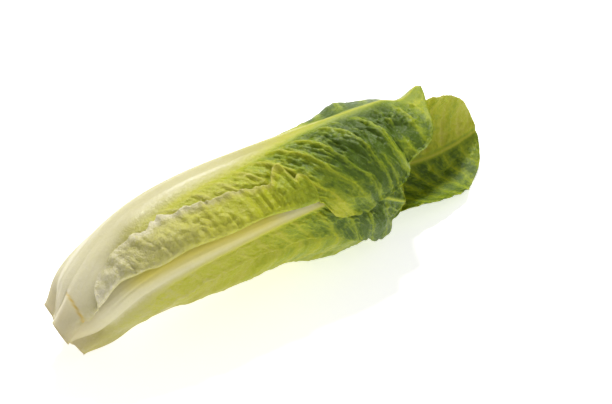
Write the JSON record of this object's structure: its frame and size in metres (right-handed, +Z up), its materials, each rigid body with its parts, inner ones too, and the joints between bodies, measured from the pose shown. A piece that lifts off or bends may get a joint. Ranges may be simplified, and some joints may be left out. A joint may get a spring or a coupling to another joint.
{
  "type": "romaine lettuce head",
  "caption": "Long head of romaine lettuce lying on its side, with a cut butt, overlapping ribbed leaves wrapped round a core, one leaf margin turned back.",
  "frame": {"origin": "middle of the bounding box in X and Y, on the surface that the head lies on", "axes": "+X runs along the head from the cut butt to the leaf tips, +Y is the head's left side for someone looking from the butt to the tips, +Z is up"},
  "size_m": [0.2882, 0.0724, 0.0726],
  "materials": {
    "cream_core": "moist cut stem and butt, cream white",
    "heart_leaf": "tender blanched leaf, soft satin",
    "pale_leaf": "fresh leaf, yellow green with a cream midrib, satin",
    "green_leaf": "fresh blistered leaf, mid to dark green, satin"
  },
  "bodies": {
    "root": {"core": "cream_core", "heart_leaf_1": "heart_leaf", "heart_leaf_2": "heart_leaf", "inner_leaf_1": "heart_leaf", "inner_leaf_2": "heart_leaf", "inner_leaf_3": "pale_leaf", "middle_leaf_1": "pale_leaf", "middle_leaf_2": "pale_leaf", "middle_leaf_3": "pale_leaf", "middle_leaf_4": "pale_leaf", "under_leaf": "pale_leaf", "front_leaf": "pale_leaf", "far_leaf": "green_leaf", "top_leaf": "green_leaf"}
  },
  "joints": []
}
